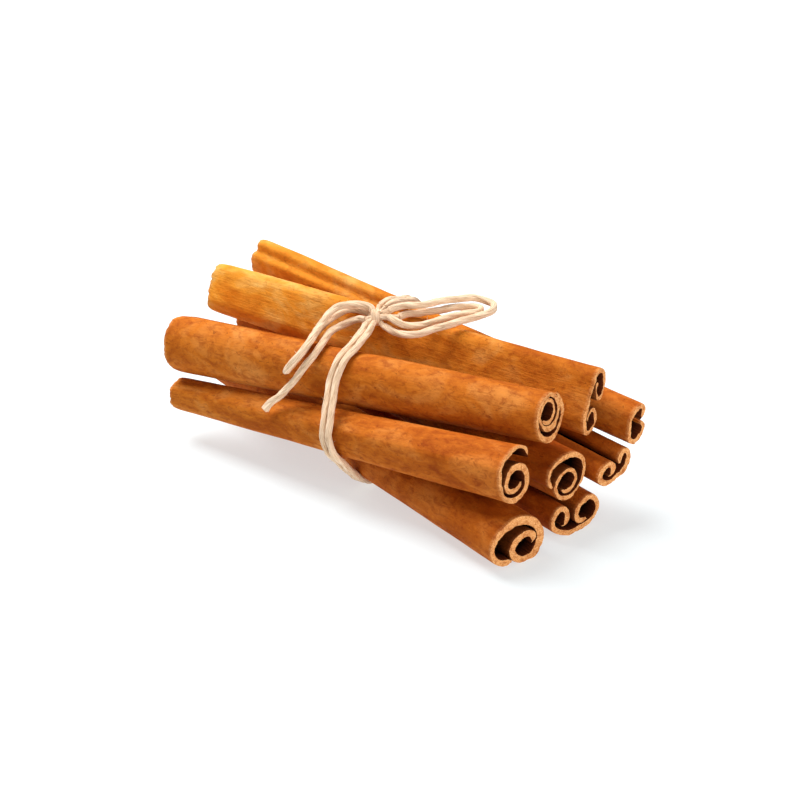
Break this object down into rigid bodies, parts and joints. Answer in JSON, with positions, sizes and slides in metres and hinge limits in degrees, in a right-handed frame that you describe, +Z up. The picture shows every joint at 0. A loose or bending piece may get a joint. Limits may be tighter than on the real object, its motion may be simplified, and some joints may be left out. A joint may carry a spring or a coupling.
{
  "type": "bundle of cinnamon sticks",
  "caption": "Bundle of rolled cinnamon bark sticks tied round the middle with doubled natural twine that ends in a small bow.",
  "frame": {"origin": "centre of the footprint, on the surface that the bundle lies on", "axes": "+X along the sticks towards their open, fanned-out right ends, +Y towards the back, +Z up"},
  "size_m": [0.0904, 0.0434, 0.0328],
  "materials": {
    "cinnamon_bark": "dry, fibrous bark with a soft sheen",
    "natural_twine": "undyed matt twine"
  },
  "bodies": {
    "root": {"stick_top_front": "cinnamon_bark", "stick_top_middle": "cinnamon_bark", "stick_top_back": "cinnamon_bark", "stick_middle_front": "cinnamon_bark", "stick_bottom_front": "cinnamon_bark", "stick_centre": "cinnamon_bark", "stick_middle_back": "cinnamon_bark", "stick_bottom_back": "cinnamon_bark", "twine_tie_left": "natural_twine", "twine_tie_right": "natural_twine", "twine_knot": "natural_twine", "twine_loop_outer": "natural_twine", "twine_loop_inner": "natural_twine", "twine_loop_left": "natural_twine", "twine_end_front": "natural_twine"}
  },
  "joints": []
}
